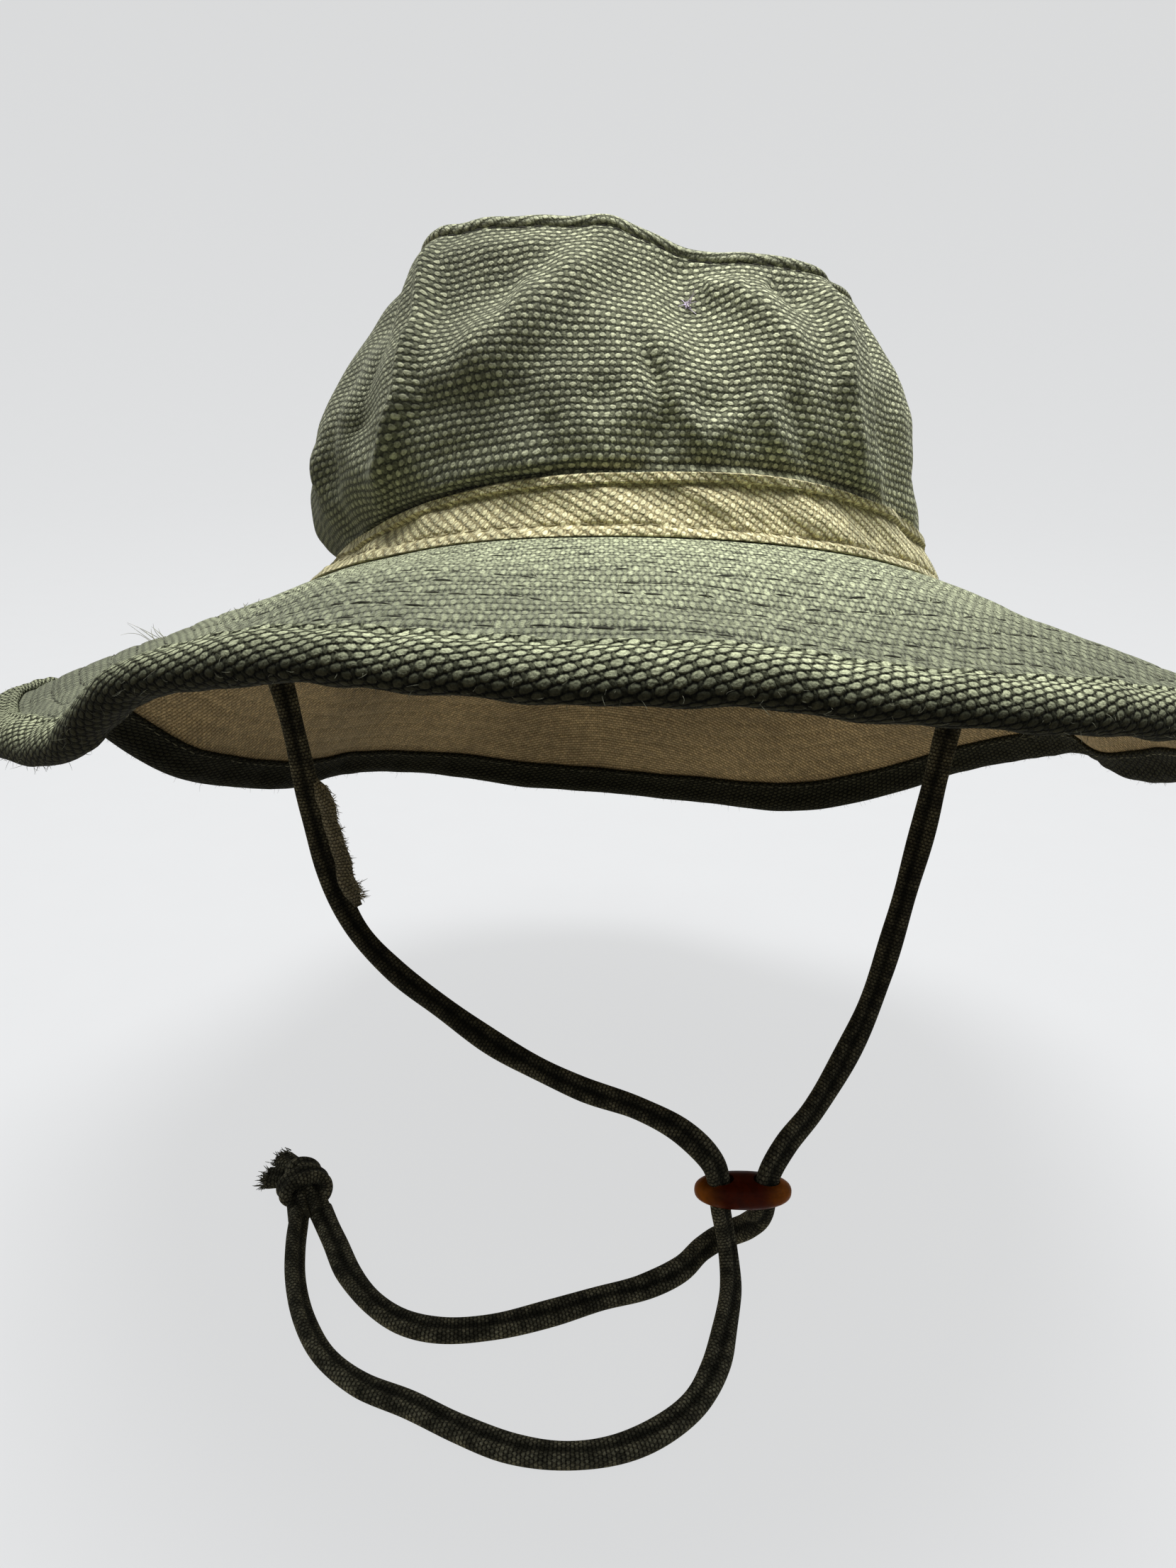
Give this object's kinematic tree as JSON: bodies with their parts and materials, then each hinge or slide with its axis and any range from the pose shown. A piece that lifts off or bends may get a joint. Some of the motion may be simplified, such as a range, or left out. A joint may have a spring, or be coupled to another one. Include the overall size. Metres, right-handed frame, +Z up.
{
  "type": "wide-brimmed sun hat with chin cord",
  "caption": "Soft canvas sun hat with a slumped flat-topped crown, contrast band, wide drooping bound brim and a braided chin cord that runs through a bead slider to a knot.",
  "frame": {"origin": "centre of the head opening, where a head holds the hat up", "axes": "+Z up, -Y towards the front of the hat, +X towards the wearer's left; the worn hat leans back 17.5 degrees about X"},
  "size_m": [0.3129, 0.3161, 0.2704],
  "materials": {
    "canvas": "washed olive canvas, coarse plain weave",
    "band": "pale tan canvas cut on the bias",
    "lining": "tan canvas under the brim",
    "binding": "olive canvas strip cut on the bias",
    "cord": "dark olive braid",
    "bead": "dark amber brown, smooth, a little see-through at the ends"
  },
  "bodies": {
    "root": {"crown_wall": "canvas", "crown_top": "canvas", "hat_band": "band", "brim_upper": "canvas", "brim_under": "lining", "brim_binding": "binding", "chin_cord_left": "cord", "chin_cord_right": "cord", "cord_slider": "bead", "cord_knot": "cord"}
  },
  "joints": []
}
